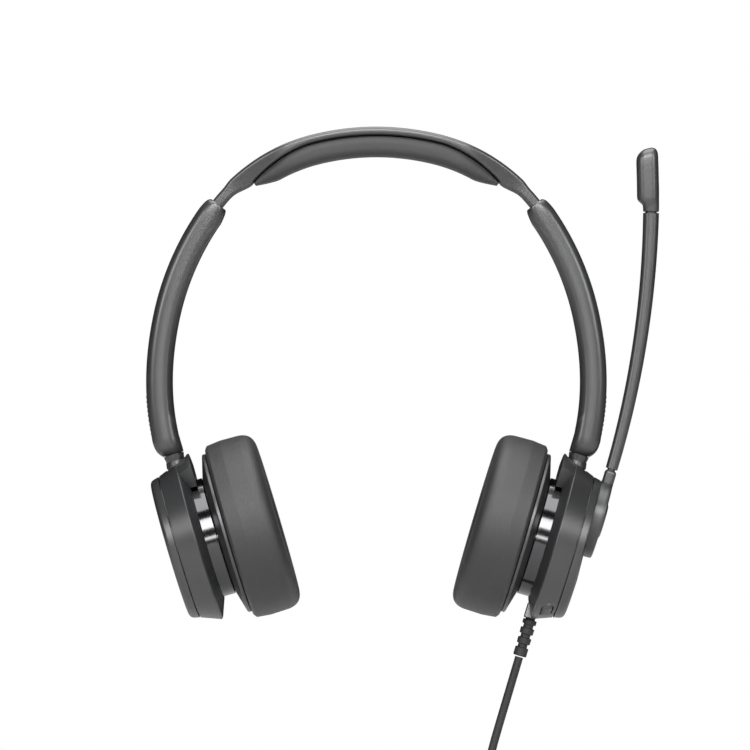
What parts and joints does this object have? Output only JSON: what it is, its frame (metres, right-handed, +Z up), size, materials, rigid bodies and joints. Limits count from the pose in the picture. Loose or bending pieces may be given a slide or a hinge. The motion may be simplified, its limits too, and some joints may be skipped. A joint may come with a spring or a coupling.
{
  "type": "office headset",
  "caption": "Over-the-head wired headset with sliding arms, swivelling on-ear cups, a swinging microphone boom and a cord that ends in a plug.",
  "frame": {"origin": "middle of the pad's underside, where the crown of the head rests", "axes": "+Z up along the headband's middle, +X towards the boom's side (the wearer's left when the front faces -Y), -Y to the front"},
  "size_m": [0.1831, 0.065, 0.3358],
  "materials": {
    "graphite_plastic": "satin graphite moulding with a fine grain",
    "pad_leather": "soft matt leatherette",
    "smoked_chrome": "smoked chrome",
    "black_plastic": "black moulding",
    "spring_steel": "plain",
    "brass": "turned",
    "board": "solder mask",
    "film": "clear film",
    "speaker_cloth": "open knitted scrim",
    "cord_rubber": "soft cord jacket",
    "tie_fabric": "hook and loop strap",
    "plug_metal": "nickel plated"
  },
  "bodies": {
    "headband": {"headband_shell": "graphite_plastic", "headband_spring": "spring_steel", "headband_lead": "cord_rubber", "headband_pad": "pad_leather"},
    "left_arm": {"left_arm_shell": "graphite_plastic", "left_arm_cover": "graphite_plastic", "left_detent_spring": "spring_steel"},
    "left_neck": {"left_knuckle": "graphite_plastic", "left_swivel_clip": "spring_steel"},
    "left_cup": {"left_cap": "graphite_plastic", "left_housing_ring": "graphite_plastic", "left_drum": "smoked_chrome", "left_speaker_plate": "graphite_plastic", "left_plate_screw_1": "spring_steel", "left_plate_screw_2": "spring_steel", "left_driver_basket": "black_plastic", "left_driver_magnet": "spring_steel", "left_diaphragm": "film", "left_speaker_cloth": "speaker_cloth", "left_ear_cushion": "pad_leather", "left_tilt_pin": "spring_steel"},
    "right_arm": {"right_arm_shell": "graphite_plastic", "right_arm_cover": "graphite_plastic", "right_detent_spring": "spring_steel"},
    "right_neck": {"right_knuckle": "graphite_plastic", "right_swivel_clip": "spring_steel"},
    "right_cup": {"right_cap": "graphite_plastic", "right_housing_ring": "graphite_plastic", "right_drum": "smoked_chrome", "right_speaker_plate": "graphite_plastic", "right_plate_screw_1": "spring_steel", "right_plate_screw_2": "spring_steel", "right_driver_basket": "black_plastic", "right_driver_magnet": "spring_steel", "right_diaphragm": "film", "right_speaker_cloth": "speaker_cloth", "right_ear_cushion": "pad_leather", "right_tilt_pin": "spring_steel", "boom_spindle": "black_plastic", "spindle_nut": "brass", "circuit_board": "board", "button_switch": "spring_steel", "strain_relief": "cord_rubber", "cord": "cord_rubber", "cord_coil": "cord_rubber", "cord_tail": "cord_rubber", "cord_tie": "tie_fabric", "plug_body": "cord_rubber", "plug_shell": "plug_metal", "plug_tongue": "black_plastic"},
    "boom": {"boom_hub": "graphite_plastic", "friction_ring": "cord_rubber", "boom_arm": "graphite_plastic", "microphone_head": "black_plastic", "microphone_capsule": "spring_steel", "microphone_screen": "speaker_cloth"},
    "centre_button": {"centre_button": "graphite_plastic"},
    "volume_up_button": {"volume_up_button": "graphite_plastic"},
    "volume_down_button": {"volume_down_button": "graphite_plastic"}
  },
  "joints": [
    {"name": "left_arm_slide", "type": "hinge", "parent": "headband", "child": "left_arm", "pos_m": [0.02087, 0, -0.07733], "axis": [0, -1, 0], "range_deg": [0, 17.5]},
    {"name": "left_cup_swivel", "type": "hinge", "parent": "left_arm", "child": "left_neck", "pos_m": [-0.06325, 0, -0.13736], "axis": [0.284, 0, -0.9588], "range_deg": [-15, 90]},
    {"name": "left_cup_tilt", "type": "hinge", "parent": "left_neck", "child": "left_cup", "pos_m": [-0.0708, 0, -0.11186], "axis": [0, 1, 0], "range_deg": [-6, 6]},
    {"name": "right_arm_slide", "type": "hinge", "parent": "headband", "child": "right_arm", "pos_m": [-0.02087, 0, -0.07733], "axis": [0, 1, 0], "range_deg": [0, 17.5]},
    {"name": "right_cup_swivel", "type": "hinge", "parent": "right_arm", "child": "right_neck", "pos_m": [0.06325, 0, -0.13736], "axis": [0.284, 0, 0.9588], "range_deg": [-15, 90]},
    {"name": "right_cup_tilt", "type": "hinge", "parent": "right_neck", "child": "right_cup", "pos_m": [0.0708, 0, -0.11186], "axis": [0, 1, 0], "range_deg": [-6, 6]},
    {"name": "boom_swing", "type": "hinge", "parent": "right_cup", "child": "boom", "pos_m": [0.06663, 0, -0.12595], "axis": [0.9588, 0, -0.284], "range_deg": [-120, 120]},
    {"name": "centre_button_press", "type": "slide", "parent": "right_cup", "child": "centre_button", "axis": [-0.9588, 0, 0.284], "range_m": [0, 0.0005], "stiffness_N_per_m": 1500, "springref_m": -0.0004},
    {"name": "volume_up_button_press", "type": "slide", "parent": "right_cup", "child": "volume_up_button", "axis": [-0.1078, 0.4386, 0.8922], "range_m": [0, 0.0004], "stiffness_N_per_m": 1500, "springref_m": -0.0003},
    {"name": "volume_down_button_press", "type": "slide", "parent": "right_cup", "child": "volume_down_button", "axis": [-0.1078, -0.4386, 0.8922], "range_m": [0, 0.0004], "stiffness_N_per_m": 1500, "springref_m": -0.0003}
  ]
}
